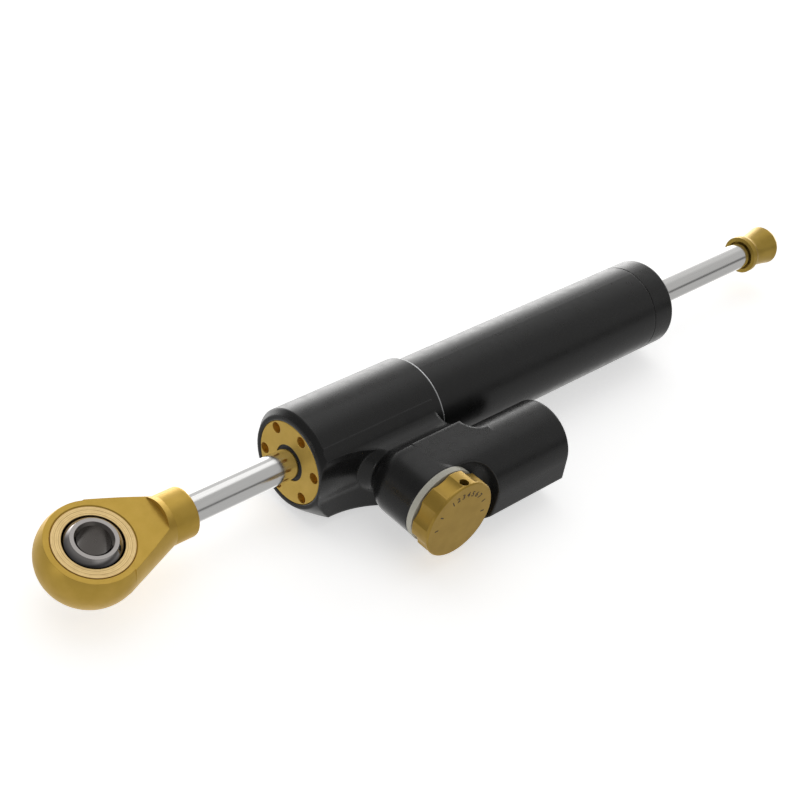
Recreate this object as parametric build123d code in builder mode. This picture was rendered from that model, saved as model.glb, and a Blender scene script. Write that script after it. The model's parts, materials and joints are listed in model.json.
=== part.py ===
"""Linear steering damper for a motorcycle.

A chromed rod runs right through an oil-filled cylinder. The piston on it
pushes the oil past a needle valve, which the knob on the side sets, and a
small reservoir beside the cylinder takes up the oil's change of volume.

X runs along the rod, from the spherical eye to the stop cap. The knob looks
along -Y and +Z is up. The origin lies on the rod's axis, in the middle of
the plain tube that the frame clamp grips. All sizes are in millimetres.
"""

import os
from math import acos, atan2, cos, hypot, radians, sin, sqrt

from build123d import *

os.makedirs("parts", exist_ok=True)

# Fits
press_gap = 0.02
run_gap = 0.03
free_gap = 0.30
cut_over = 1.0

# Rod and stroke
rod_d = 8.0
stroke = 75.0
rod_front_shown = 32.0
end_gap = 2.9
rod_neck_step = 1.0
rod_neck_wall = 3.0
rod_neck_rear = 7.5

# Cylinder tube and rear cap
tube_d = 25.4
tube_wall = 3.2
tube_extra = 11.2
tube_edge = 0.2
spigot_step = 1.4
spigot_length = 9.5
cap_rim = 8.3
cap_edge = 1.2

# Body barrel
body_length = 41.1
barrel_step = 1.2
nose_step = 1.5
nose_wall = 1.15
nose_length = 1.7
body_edge = 0.8
rod_passage_gap = 0.7

# Web between the barrel, the knob's boss and the reservoir
web_drop = 11.9
waist_wall = 0.35
waist_straight = 5.0
waist_flare = 5.6
boss_neck_out = 15.6
boss_neck_half = 6.2
boss_neck_deep = 2.6
groove_r = 5.6
groove_z = 12.6
groove_bite = 0.2
slot_r = 5.0
slot_y = 19.9
slot_setback = 1.9

# Reservoir
pod_r = 10.4
pod_y = 27.8
pod_length = 40.8
pod_corner = 5.4
pod_edge = 0.5
pod_wall = 2.9
pod_cap_thick = 6.0
pod_cap_sunk = 2.4
pod_clip_thick = 1.1
pod_clip_ring = 1.7
fill_screw_d = 5.0
fill_screw_length = 5.0
fill_hex = 2.5
float_length = 7.0
float_place_share = 0.5
float_cup_d = 10.0
float_cup_deep = 4.0

# Knob side, measured outwards from the rod's axis
knob_from_nose = 21.6
boss_out = 31.4
pocket_gap = 4.0
pocket_corner = 4.0
pocket_wall = 1.6
ring_thick = 1.7
knob_gap = 0.7
knob_d = 21.6
knob_thick = 5.5
knob_edge = 0.3
knob_rim = 0.7
knob_bore_deep = 4.6
flute_count = 7
flute_r = 7.0
flute_depth = 0.9
flute_turn = 108.6
grub_d = 2.4
grub_length = 6.5
grub_hex = 1.3
grub_out = 3.95
grub_turn = 87.5
valve_bush_d = 12.0
valve_bush_flange_d = 14.0
valve_bush_flange = 1.0
valve_bush_length = 12.8
collar_gap = 0.5
seat_out = 10.0
seat_d = 6.0
seat_length = 3.0
seat_hole_d = 1.8
spindle_d = 5.0
spindle_collar_d = 7.0
spindle_collar = 1.4
spindle_tail = 2.0
needle_d = 3.0
needle_tip_d = 1.2
needle_taper = 3.0
needle_lift = 0.1
needle_length = 8.5
needle_pitch = 0.75
needle_socket = 5.0
port_d = 2.0

# Front gland
gland_disc = 4.0
gland_step = 1.9
gland_length = 14.0
gland_edge = 0.3
pin_from_rim = 1.9
pin_hole_d = 3.0
pin_hole_deep = 2.4
pin_hole_turn = -10.0
pin_hole_count = 6

# Wiper, seal and guide, the same at both ends
lip_ring = 0.9
lip_thick = 1.0
lip_sunk = 0.3
wiper_ring = 2.2
wiper_thick = 2.2
wall_thick = 1.2
seal_ring = 2.4
seal_thick = 3.0
guide_wall = 1.5
guide_length = 6.0

# O-rings
o_ring_d = 1.4
o_ring_side = 0.25
tube_o_ring_d = 0.9
spindle_o_ring_d = 0.9

# Piston
piston_gap = 0.3
piston_length = 12.0
ring_width = 4.0
ring_wall = 1.2
clip_thick = 1.0
clip_ring = 1.5
clip_sunk = 1.3
clip_grip = 0.7
clip_mouth = 4.0

# Rod end
eye_reach = 26.7
eye_roll = 14.4
eye_thick = 10.6
head_r = 12.8
head_round = 1.4
shank_d = 12.8
shank_edge = 0.8
shank_socket = 2.0
flats_run = 5.4
neck_run = 7.2
race_wall = 3.1
race_back = 1.1
race_sunk = 0.1
race_edge = 0.35
ball_width = 13.0
liner_thick = 0.3
liner_width = 7.0
eye_bore = 8.0
bore_edge = 0.65

# Stop cap
stop_flange_d = 11.4
stop_flange = 1.7
stop_waist_d = 8.9
stop_waist_at = 3.6
stop_end_d = 12.3
stop_end_at = 11.0
stop_length = 13.0
stop_tip_d = 8.8
stop_gap_ring = 0.5
stop_gap_deep = 1.8

# Diameters and radii that follow from the rod
rod_r = rod_d / 2
rod_fit_r = rod_r + run_gap
neck_r = rod_r - rod_neck_step
rod_passage_r = rod_r + rod_passage_gap
lip_r = rod_r + lip_ring
wiper_r = rod_r + wiper_ring
wall_hole_r = rod_r + free_gap
seal_r = rod_r + seal_ring
guide_r = rod_r + guide_wall
clip_r = rod_r + clip_ring
stop_gap_r = rod_r + stop_gap_ring

# Radii that follow from the tube, out to the barrel and in to the gland
tube_r = tube_d / 2
tube_bore_r = tube_r - tube_wall
spigot_r = tube_r - spigot_step
spigot_bore_r = spigot_r + press_gap
barrel_r = tube_r + barrel_step
nose_r = barrel_r - nose_step
gland_r = nose_r - nose_wall
gland_neck_r = gland_r - gland_step
gland_bore_r = gland_neck_r + press_gap
pin_circle_r = gland_r - pin_from_rim
waist_y = gland_r + waist_wall
piston_r = tube_bore_r - piston_gap

# Radii of the rod end, the reservoir and the valve
head_flat_r = head_r - head_round
flats_r = head_r + flats_run
neck_end = head_r + neck_run
race_r = head_r - race_wall
ball_r = race_r - race_back
rod_neck_front = eye_reach - shank_socket - race_r - rod_neck_wall
pod_bore_r = pod_r - pod_wall
pocket_r = knob_d / 2 + pocket_gap
spindle_bore_r = spindle_d / 2 + run_gap
chamber_r = spindle_collar_d / 2 + collar_gap

# Places along the rod
clamp_length = stroke + tube_extra
clamp_front = -clamp_length / 2
clamp_rear = clamp_length / 2
tube_end = clamp_rear + cap_rim
body_front = clamp_front - body_length
spigot_front = clamp_front - spigot_length
chamber_rear = spigot_front + stroke + piston_length + 2 * free_gap
in_travel = rod_front_shown - end_gap
out_travel = stroke - in_travel
shank_end = body_front - rod_front_shown
eye_x = shank_end - eye_reach
stop_x = tube_end + out_travel + end_gap
piston_x = chamber_rear - free_gap - in_travel - piston_length / 2
knob_x = body_front + knob_from_nose
pod_rear = knob_x + pod_length
pod_bore_front = knob_x + pocket_r + pocket_wall
gland_end = body_front + gland_length
valve_end = boss_out - valve_bush_length

# Planes and axes
knob_face = Plane(origin=(knob_x, 0, 0), x_dir=(1, 0, 0), z_dir=(0, -1, 0))
knob_side = Plane(origin=(knob_x, 0, 0), x_dir=(0, -1, 0), z_dir=(-1, 0, 0))
knob_axis = Axis((knob_x, 0, 0), (0, -1, 0))
pod_side = Plane(origin=(0, -pod_y, 0), x_dir=(1, 0, 0), z_dir=(0, -1, 0))
pod_axis = Axis((0, -pod_y, 0), (1, 0, 0))
eye_up = (0, -sin(radians(eye_roll)), cos(radians(eye_roll)))
eye_across = (0, -cos(radians(eye_roll)), -sin(radians(eye_roll)))
eye_flat = Plane(origin=(eye_x, 0, 0), x_dir=(1, 0, 0), z_dir=eye_up)
eye_side = Plane(origin=(eye_x, 0, 0), x_dir=(1, 0, 0), z_dir=eye_across)
eye_axis = Axis((eye_x, 0, 0), eye_up)


def rod_bore(face_x, way, length):
    """Half profile of the stepped bore that holds wiper, seal and guide.

    It starts at the outer face and goes inwards, which way is +1 or -1 on X.
    """
    groove_start = lip_thick
    groove_end = groove_start + wiper_thick
    seal_start = groove_end + wall_thick
    seal_end = seal_start + seal_thick
    guide_start = length - guide_length
    steps = [
        (-cut_over, lip_r),
        (groove_start, lip_r),
        (groove_start, wiper_r),
        (groove_end, wiper_r),
        (groove_end, wall_hole_r),
        (seal_start, wall_hole_r),
        (seal_start, seal_r),
        (seal_end, seal_r),
        (seal_end, wall_hole_r),
        (guide_start, wall_hole_r),
        (guide_start, guide_r),
        (length + cut_over, guide_r),
    ]
    outline = [(face_x + way * x, r) for x, r in steps]
    return outline + [(outline[-1][0], 0), (outline[0][0], 0)]


# Body housing
# Barrel, knob boss, web and reservoir are one billet.
with BuildPart() as body_housing:
    with BuildSketch(Plane.XZ):
        with BuildLine():
            Polyline(
                (body_front, 0),
                (body_front, barrel_r),
                (clamp_front - body_edge, barrel_r),
                (clamp_front, barrel_r - body_edge),
                (clamp_front, 0),
                close=True,
            )
        make_face()
    revolve(axis=Axis.X)

    # Waist milled down the side of the barrel, as far as the knob's boss
    waist_x = body_front + waist_straight
    with BuildSketch(Plane.XY.offset(-barrel_r)):
        with BuildLine():
            Line((body_front, -2 * barrel_r), (body_front, -waist_y))
            Line((body_front, -waist_y), (waist_x, -waist_y))
            TangentArc((waist_x, -waist_y), (knob_x, -waist_y - waist_flare), tangent=(1, 0))
            Line((knob_x, -waist_y - waist_flare), (knob_x, -2 * barrel_r))
            Line((knob_x, -2 * barrel_r), (body_front, -2 * barrel_r))
        make_face()
    extrude(amount=2 * barrel_r, mode=Mode.SUBTRACT)

    # The web's outline in plan, which follows the waist and ends in a slot
    slot_x = clamp_front + slot_setback
    with BuildSketch(Plane.XY.offset(-web_drop)):
        with BuildLine():
            Line((body_front, 0), (body_front, -waist_y))
            Line((body_front, -waist_y), (waist_x, -waist_y))
            TangentArc((waist_x, -waist_y), (knob_x, -waist_y - waist_flare), tangent=(1, 0))
            Line((knob_x, -waist_y - waist_flare), (knob_x, -pod_y))
            Line((knob_x, -pod_y), (slot_x, -pod_y))
            Line((slot_x, -pod_y), (slot_x, -slot_y - slot_r))
            TangentArc((slot_x, -slot_y - slot_r), (slot_x - slot_r, -slot_y), tangent=(-1, 0))
            Line((slot_x - slot_r, -slot_y), (slot_x - slot_r, 0))
            Line((slot_x - slot_r, 0), (body_front, 0))
        make_face()
    extrude(amount=web_drop + pod_r)

    # Knob boss, necked by a ring groove where it leaves the waist
    neck_start = (boss_neck_out - boss_neck_half, pod_r)
    neck_stop = (boss_neck_out + boss_neck_half, pod_r)
    with BuildSketch(knob_side):
        with BuildLine():
            Polyline((0, 0), (0, pod_r), neck_start)
            Spline(
                neck_start,
                (boss_neck_out, pod_r - boss_neck_deep),
                neck_stop,
                tangents=((1, 0), (1, 0)),
            )
            Polyline(neck_stop, (boss_out, pod_r), (boss_out, 0), (0, 0))
        make_face()
    revolve(axis=knob_axis)

    # Reservoir
    with BuildSketch(Plane.YZ.offset(knob_x)):
        with BuildLine():
            ThreePointArc((-pod_y - pod_r, 0), (-pod_y, pod_r), (-pod_y + pod_r, 0))
            Polyline(
                (-pod_y + pod_r, 0),
                (-pod_y + pod_r, pod_corner - web_drop),
                (-pod_y + pod_r - pod_corner, -web_drop),
                (-pod_y - pod_r + pod_corner, -web_drop),
                (-pod_y - pod_r, pod_corner - web_drop),
                (-pod_y - pod_r, 0),
            )
        make_face()
    extrude(amount=pod_length)
    chamfer(body_housing.faces().sort_by(Axis.X)[-1].edges(), pod_edge)

    # Ball-nosed groove between the barrel and the web's top
    groove_y = -sqrt((barrel_r + groove_r - groove_bite) ** 2 - groove_z**2)
    with BuildSketch(Plane.YZ.offset(body_front - cut_over)):
        with Locations((groove_y, groove_z)):
            Circle(groove_r)
    extrude(amount=body_length + 2 * cut_over, mode=Mode.SUBTRACT)

    # Nose cone
    nose_slope = nose_step / nose_length
    cone_reach = 4 * nose_length
    with BuildSketch(Plane.XZ):
        with BuildLine():
            Polyline(
                (body_front - cut_over, nose_r - cut_over * nose_slope),
                (body_front + cone_reach, nose_r + cone_reach * nose_slope),
                (body_front + cone_reach, 2 * barrel_r),
                (body_front - cut_over, 2 * barrel_r),
                close=True,
            )
        make_face()
    revolve(axis=Axis.X, mode=Mode.SUBTRACT)

    # Pocket in the reservoir that leaves room for the knob and for fingers
    pocket_end = pod_y + pod_r + cut_over
    with BuildSketch(knob_side):
        with BuildLine():
            Polyline((pocket_end, 0), (boss_out, 0), (boss_out, pocket_r - pocket_corner))
            TangentArc(
                (boss_out, pocket_r - pocket_corner),
                (boss_out + pocket_corner, pocket_r),
                tangent=(0, 1),
            )
            Polyline((boss_out + pocket_corner, pocket_r), (pocket_end, pocket_r), (pocket_end, 0))
        make_face()
    revolve(axis=knob_axis, mode=Mode.SUBTRACT)

    # Bores for the gland, the rod and the tube's spigot
    with BuildSketch(Plane.XZ):
        with BuildLine():
            Polyline(
                (body_front - cut_over, 0),
                (body_front - cut_over, gland_r + press_gap),
                (body_front + gland_disc, gland_r + press_gap),
                (body_front + gland_disc, gland_bore_r),
                (gland_end, gland_bore_r),
                (gland_end, rod_passage_r),
                (spigot_front, rod_passage_r),
                (spigot_front, spigot_bore_r),
                (clamp_front + cut_over, spigot_bore_r),
                (clamp_front + cut_over, 0),
                close=True,
            )
        make_face()
    revolve(axis=Axis.X, mode=Mode.SUBTRACT)

    # Valve bore, from the boss down to the rod passage
    with BuildSketch(knob_side):
        with BuildLine():
            Polyline(
                (0, 0),
                (0, seat_hole_d / 2),
                (seat_out - seat_length, seat_hole_d / 2),
                (seat_out - seat_length, seat_d / 2 + press_gap),
                (seat_out, seat_d / 2 + press_gap),
                (seat_out, chamber_r),
                (valve_end, chamber_r),
                (valve_end, valve_bush_d / 2 + press_gap),
                (boss_out + cut_over, valve_bush_d / 2 + press_gap),
                (boss_out + cut_over, 0),
                close=True,
            )
        make_face()
    revolve(axis=knob_axis, mode=Mode.SUBTRACT)

    # Reservoir bore with its circlip groove
    pod_clip_front = pod_rear - pod_cap_sunk
    pod_clip_groove_r = pod_bore_r + pod_clip_ring / 2
    with BuildSketch(pod_side):
        with BuildLine():
            Polyline(
                (pod_bore_front, 0),
                (pod_bore_front, pod_bore_r),
                (pod_clip_front, pod_bore_r),
                (pod_clip_front, pod_clip_groove_r),
                (pod_clip_front + pod_clip_thick + press_gap, pod_clip_groove_r),
                (pod_clip_front + pod_clip_thick + press_gap, pod_bore_r),
                (pod_rear + cut_over, pod_bore_r),
                (pod_rear + cut_over, 0),
                close=True,
            )
        make_face()
    revolve(axis=pod_axis, mode=Mode.SUBTRACT)

    # Oil way between the valve's chamber and the reservoir
    port_start = Vector(knob_x, -seat_out - port_d / 2, 0)
    port_end = Vector(pod_bore_front + port_d / 2, -pod_y, 0)
    port_way = port_end - port_start
    with BuildSketch(Plane(origin=port_start, z_dir=port_way)):
        Circle(port_d / 2)
    extrude(amount=port_way.length, mode=Mode.SUBTRACT)
body_housing.part.label = "body_housing"
export_step(body_housing.part, "parts/body_housing.step")

# Cylinder tube, which pilots in the body with a thinner spigot
with BuildPart() as cylinder_tube:
    with BuildSketch(Plane.XZ):
        with BuildLine():
            Polyline(
                (spigot_front, tube_bore_r),
                (spigot_front, spigot_r),
                (clamp_front, spigot_r),
                (clamp_front, tube_r),
                (clamp_rear - tube_edge, tube_r),
                (clamp_rear, tube_r - tube_edge),
                (clamp_rear, tube_bore_r),
                close=True,
            )
        make_face()
        with Locations((clamp_front - spigot_length / 2, spigot_r - tube_o_ring_d / 2)):
            Rectangle(
                tube_o_ring_d + 2 * o_ring_side,
                tube_o_ring_d + 2 * press_gap,
                mode=Mode.SUBTRACT,
            )
    revolve(axis=Axis.X)
cylinder_tube.part.label = "cylinder_tube"
export_step(cylinder_tube.part, "parts/cylinder_tube.step")

# Rear end cap, rounded outside and spigoted into the tube
cap_length = tube_end - chamber_rear
cap_spigot_r = tube_bore_r - press_gap
cap_o_ring_x = chamber_rear + guide_length / 2
with BuildPart() as rear_end_cap:
    with BuildSketch(Plane.XZ):
        with BuildLine():
            Polyline(
                (tube_end, 0),
                (chamber_rear, 0),
                (chamber_rear, cap_spigot_r),
                (clamp_rear, cap_spigot_r),
                (clamp_rear, tube_r - tube_edge),
                (clamp_rear + tube_edge, tube_r),
                (tube_end - cap_edge, tube_r),
            )
            RadiusArc(
                (tube_end - cap_edge, tube_r),
                (tube_end, tube_r - cap_edge),
                cap_edge,
            )
            Line((tube_end, tube_r - cap_edge), (tube_end, 0))
        make_face()
        with BuildLine():
            Polyline(*rod_bore(tube_end, -1, cap_length), close=True)
        make_face(mode=Mode.SUBTRACT)
        with Locations((cap_o_ring_x, cap_spigot_r - o_ring_d / 2)):
            Rectangle(
                o_ring_d + 2 * o_ring_side,
                o_ring_d + 2 * press_gap,
                mode=Mode.SUBTRACT,
            )
    revolve(axis=Axis.X)
rear_end_cap.part.label = "rear_end_cap"
export_step(rear_end_cap.part, "parts/rear_end_cap.step")

# Front gland with six blind holes for a pin spanner
gland_o_ring_x = gland_end - guide_length / 2
with BuildPart() as front_gland:
    with BuildSketch(Plane.XZ):
        with BuildLine():
            Polyline(
                (body_front, 0),
                (body_front, gland_r - gland_edge),
                (body_front + gland_edge, gland_r),
                (body_front + gland_disc, gland_r),
                (body_front + gland_disc, gland_neck_r),
                (gland_end, gland_neck_r),
                (gland_end, 0),
                close=True,
            )
        make_face()
        with BuildLine():
            Polyline(*rod_bore(body_front, 1, gland_length), close=True)
        make_face(mode=Mode.SUBTRACT)
        with Locations((gland_o_ring_x, gland_neck_r - o_ring_d / 2)):
            Rectangle(
                o_ring_d + 2 * o_ring_side,
                o_ring_d + 2 * press_gap,
                mode=Mode.SUBTRACT,
            )
    revolve(axis=Axis.X)
    with BuildSketch(Plane.YZ.offset(body_front)):
        with PolarLocations(pin_circle_r, pin_hole_count, start_angle=pin_hole_turn):
            Circle(pin_hole_d / 2)
    extrude(amount=pin_hole_deep, mode=Mode.SUBTRACT)
front_gland.part.label = "front_gland"
export_step(front_gland.part, "parts/front_gland.step")

# Rod seals, guides and wipers of both ends
seal_in = lip_thick + wiper_thick + wall_thick
with BuildPart() as front_rod_seal:
    with BuildSketch(Plane.YZ.offset(body_front + seal_in)):
        Circle(seal_r - press_gap)
        Circle(rod_fit_r, mode=Mode.SUBTRACT)
    extrude(amount=seal_thick)
front_rod_seal.part.label = "front_rod_seal"
export_step(front_rod_seal.part, "parts/front_rod_seal.step")

with BuildPart() as rear_rod_seal:
    with BuildSketch(Plane.YZ.offset(tube_end - seal_in - seal_thick)):
        Circle(seal_r - press_gap)
        Circle(rod_fit_r, mode=Mode.SUBTRACT)
    extrude(amount=seal_thick)
rear_rod_seal.part.label = "rear_rod_seal"
export_step(rear_rod_seal.part, "parts/rear_rod_seal.step")

with BuildPart() as front_guide_bush:
    with BuildSketch(Plane.YZ.offset(gland_end - guide_length)):
        Circle(guide_r - press_gap)
        Circle(rod_fit_r, mode=Mode.SUBTRACT)
    extrude(amount=guide_length)
front_guide_bush.part.label = "front_guide_bush"
export_step(front_guide_bush.part, "parts/front_guide_bush.step")

with BuildPart() as rear_guide_bush:
    with BuildSketch(Plane.YZ.offset(chamber_rear)):
        Circle(guide_r - press_gap)
        Circle(rod_fit_r, mode=Mode.SUBTRACT)
    extrude(amount=guide_length)
rear_guide_bush.part.label = "rear_guide_bush"
export_step(rear_guide_bush.part, "parts/rear_guide_bush.step")


def wiper_outline(face_x, way):
    """Half profile of a wiper: a flange in its groove and a lip to the face."""
    steps = [
        (lip_sunk, rod_fit_r),
        (lip_sunk, lip_r - press_gap),
        (lip_thick, lip_r - press_gap),
        (lip_thick, wiper_r - press_gap),
        (lip_thick + wiper_thick, wiper_r - press_gap),
        (lip_thick + wiper_thick, rod_fit_r),
    ]
    return [(face_x + way * x, r) for x, r in steps]


with BuildPart() as front_wiper:
    with BuildSketch(Plane.XZ):
        with BuildLine():
            Polyline(*wiper_outline(body_front, 1), close=True)
        make_face()
    revolve(axis=Axis.X)
front_wiper.part.label = "front_wiper"
export_step(front_wiper.part, "parts/front_wiper.step")

with BuildPart() as rear_wiper:
    with BuildSketch(Plane.XZ):
        with BuildLine():
            Polyline(*wiper_outline(tube_end, -1), close=True)
        make_face()
    revolve(axis=Axis.X)
rear_wiper.part.label = "rear_wiper"
export_step(rear_wiper.part, "parts/rear_wiper.step")

# O-rings of the gland, the tube and the rear cap
with BuildPart() as gland_o_ring:
    with BuildSketch(Plane.XZ):
        with Locations((gland_o_ring_x, gland_neck_r - o_ring_d / 2)):
            Circle(o_ring_d / 2)
    revolve(axis=Axis.X)
gland_o_ring.part.label = "gland_o_ring"
export_step(gland_o_ring.part, "parts/gland_o_ring.step")

with BuildPart() as tube_o_ring:
    with BuildSketch(Plane.XZ):
        with Locations((clamp_front - spigot_length / 2, spigot_r - tube_o_ring_d / 2)):
            Circle(tube_o_ring_d / 2)
    revolve(axis=Axis.X)
tube_o_ring.part.label = "tube_o_ring"
export_step(tube_o_ring.part, "parts/tube_o_ring.step")

with BuildPart() as rear_cap_o_ring:
    with BuildSketch(Plane.XZ):
        with Locations((cap_o_ring_x, cap_spigot_r - o_ring_d / 2)):
            Circle(o_ring_d / 2)
    revolve(axis=Axis.X)
rear_cap_o_ring.part.label = "rear_cap_o_ring"
export_step(rear_cap_o_ring.part, "parts/rear_cap_o_ring.step")

# Piston rod, necked at both ends and grooved for the piston's clips
rod_rear = stop_x + stop_gap_deep
clip_in = piston_length / 2 - clip_sunk
clip_groove_r = rod_r - clip_grip
with BuildPart() as piston_rod:
    with BuildSketch(Plane.XZ):
        with BuildLine():
            Polyline(
                (shank_end - shank_socket - rod_neck_front, 0),
                (shank_end - shank_socket - rod_neck_front, neck_r),
                (shank_end - shank_socket, neck_r),
                (shank_end - shank_socket, rod_r),
                (rod_rear, rod_r),
                (rod_rear, neck_r),
                (rod_rear + rod_neck_rear, neck_r),
                (rod_rear + rod_neck_rear, 0),
                close=True,
            )
        make_face()
        for way in (-1, 1):
            with Locations((piston_x + way * (clip_in + clip_thick / 2), rod_r)):
                Rectangle(clip_thick, 2 * clip_grip, mode=Mode.SUBTRACT)
    revolve(axis=Axis.X)
piston_rod.part.label = "piston_rod"
export_step(piston_rod.part, "parts/piston_rod.step")

# Piston, with a groove for its ring and a recess for a clip at each end
ring_outer_r = tube_bore_r - run_gap
ring_inner_r = ring_outer_r - ring_wall
with BuildPart() as piston:
    with BuildSketch(Plane.XZ):
        with Locations((piston_x, (piston_r + rod_r + press_gap) / 2)):
            Rectangle(piston_length, piston_r - rod_r - press_gap)
        with Locations((piston_x, ring_inner_r)):
            Rectangle(
                ring_width + 2 * run_gap,
                2 * (run_gap + piston_r - ring_inner_r),
                mode=Mode.SUBTRACT,
            )
        for way in (-1, 1):
            with Locations((piston_x + way * piston_length / 2, 0)):
                Rectangle(2 * clip_sunk, 2 * (clip_r + free_gap), mode=Mode.SUBTRACT)
    revolve(axis=Axis.X)
piston.part.label = "piston"
export_step(piston.part, "parts/piston.step")

with BuildPart() as piston_ring:
    with BuildSketch(Plane.YZ.offset(piston_x - ring_width / 2)):
        Circle(ring_outer_r)
        Circle(ring_inner_r, mode=Mode.SUBTRACT)
    extrude(amount=ring_width)
piston_ring.part.label = "piston_ring"
export_step(piston_ring.part, "parts/piston_ring.step")

# Two clips that hold the piston on the rod
with BuildPart() as piston_clips:
    clip_planes = [
        Plane.YZ.offset(piston_x - clip_in - clip_thick),
        Plane.YZ.offset(piston_x + clip_in),
    ]
    with BuildSketch(*clip_planes):
        Circle(clip_r)
        Circle(clip_groove_r + press_gap, mode=Mode.SUBTRACT)
        with Locations((0, clip_r)):
            Rectangle(clip_mouth, 2 * clip_r, mode=Mode.SUBTRACT)
    extrude(amount=clip_thick)
piston_clips.part.label = "piston_clips"
export_step(piston_clips.part, "parts/piston_clips.step")

# Rod-end eye: a turned shank that flares to the head, flatted above and below
neck_reach = hypot(neck_end, shank_d / 2)
neck_turn = atan2(shank_d / 2, neck_end) + acos(head_r / neck_reach)
race_bore_r = race_r + press_gap
with BuildPart() as rod_end_eye:
    with BuildSketch(Plane.XZ):
        with BuildLine():
            Polyline(
                (eye_x, 0),
                (eye_x + head_r * cos(neck_turn), head_r * sin(neck_turn)),
                (eye_x + neck_end, shank_d / 2),
                (shank_end - shank_edge, shank_d / 2),
            )
            RadiusArc(
                (shank_end - shank_edge, shank_d / 2),
                (shank_end, shank_d / 2 - shank_edge),
                shank_edge,
            )
            Polyline((shank_end, shank_d / 2 - shank_edge), (shank_end, 0), (eye_x, 0))
        make_face()
    revolve(axis=Axis.X)
    for way in (-1, 1):
        with BuildSketch(eye_flat.offset(way * eye_thick / 2)):
            Circle(flats_r)
        extrude(amount=way * head_r, mode=Mode.SUBTRACT)
    with BuildSketch(eye_side):
        with BuildLine():
            ThreePointArc(
                (head_flat_r, -eye_thick / 2),
                (head_r, 0),
                (head_flat_r, eye_thick / 2),
            )
            Polyline(
                (head_flat_r, eye_thick / 2),
                (0, eye_thick / 2),
                (0, -eye_thick / 2),
                (head_flat_r, -eye_thick / 2),
            )
        make_face()
    revolve(axis=eye_axis)
    with BuildSketch(eye_side):
        with BuildLine():
            Polyline(
                (0, -eye_thick / 2 - cut_over),
                (race_bore_r + race_edge + cut_over, -eye_thick / 2 - cut_over),
                (race_bore_r, race_edge - eye_thick / 2),
                (race_bore_r, eye_thick / 2 - race_edge),
                (race_bore_r + race_edge + cut_over, eye_thick / 2 + cut_over),
                (0, eye_thick / 2 + cut_over),
                close=True,
            )
        make_face()
    revolve(axis=eye_axis, mode=Mode.SUBTRACT)
    with BuildSketch(Plane.XZ):
        with BuildLine():
            neck_bore_r = neck_r + press_gap
            Polyline(
                (shank_end - shank_socket - rod_neck_front, 0),
                (shank_end - shank_socket - rod_neck_front, neck_bore_r),
                (shank_end - shank_socket, neck_bore_r),
                (shank_end - shank_socket, rod_r + press_gap),
                (shank_end + cut_over, rod_r + press_gap),
                (shank_end + cut_over, 0),
                close=True,
            )
        make_face()
    revolve(axis=Axis.X, mode=Mode.SUBTRACT)
rod_end_eye.part.label = "rod_end_eye"
export_step(rod_end_eye.part, "parts/rod_end_eye.step")

# Race, liner and ball of the spherical bearing
race_half = eye_thick / 2 - race_sunk
liner_inner_r = ball_r + run_gap
liner_outer_r = liner_inner_r + liner_thick
race_inner_r = liner_outer_r + run_gap
with BuildPart() as bearing_race:
    with BuildSketch(eye_flat.offset(-race_half)):
        Circle(race_r)
    extrude(amount=2 * race_half)
    with Locations((eye_x, 0, 0)):
        Sphere(race_inner_r, mode=Mode.SUBTRACT)
bearing_race.part.label = "bearing_race"
export_step(bearing_race.part, "parts/bearing_race.step")

with BuildPart() as bearing_liner:
    with BuildSketch(eye_flat.offset(-liner_width / 2)):
        Circle(race_r)
    extrude(amount=liner_width)
    with Locations((eye_x, 0, 0)):
        Sphere(liner_outer_r, mode=Mode.INTERSECT)
        Sphere(liner_inner_r, mode=Mode.SUBTRACT)
bearing_liner.part.label = "bearing_liner"
export_step(bearing_liner.part, "parts/bearing_liner.step")

with BuildPart() as bearing_ball:
    with BuildSketch(eye_flat.offset(-ball_width / 2)):
        Circle(ball_r)
    extrude(amount=ball_width)
    with Locations((eye_x, 0, 0)):
        Sphere(ball_r, mode=Mode.INTERSECT)
    with BuildSketch(eye_side):
        with BuildLine():
            Polyline(
                (0, -ball_width / 2 - cut_over),
                (eye_bore / 2 + bore_edge + cut_over, -ball_width / 2 - cut_over),
                (eye_bore / 2, bore_edge - ball_width / 2),
                (eye_bore / 2, ball_width / 2 - bore_edge),
                (eye_bore / 2 + bore_edge + cut_over, ball_width / 2 + cut_over),
                (0, ball_width / 2 + cut_over),
                close=True,
            )
        make_face()
    revolve(axis=eye_axis, mode=Mode.SUBTRACT)
bearing_ball.part.label = "bearing_ball"
export_step(bearing_ball.part, "parts/bearing_ball.step")

# Stop cap, a spool on the rod's rear neck
with BuildPart() as rod_stop_cap:
    with BuildSketch(Plane.XZ):
        with BuildLine():
            Polyline(
                (stop_x, 0),
                (stop_x, stop_flange_d / 2),
                (stop_x + stop_flange, stop_flange_d / 2),
            )
            Spline(
                (stop_x + stop_flange, stop_flange_d / 2),
                (stop_x + stop_waist_at, stop_waist_d / 2),
                (stop_x + stop_end_at, stop_end_d / 2),
            )
            Spline(
                (stop_x + stop_end_at, stop_end_d / 2),
                (stop_x + stop_length, stop_tip_d / 2),
            )
            Polyline((stop_x + stop_length, stop_tip_d / 2), (stop_x + stop_length, 0), (stop_x, 0))
        make_face()
        with BuildLine():
            Polyline(
                (stop_x - cut_over, 0),
                (stop_x - cut_over, stop_gap_r),
                (rod_rear, stop_gap_r),
                (rod_rear, neck_r + press_gap),
                (rod_rear + rod_neck_rear, neck_r + press_gap),
                (rod_rear + rod_neck_rear, 0),
                close=True,
            )
        make_face(mode=Mode.SUBTRACT)
    revolve(axis=Axis.X)
rod_stop_cap.part.label = "rod_stop_cap"
export_step(rod_stop_cap.part, "parts/rod_stop_cap.step")

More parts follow.
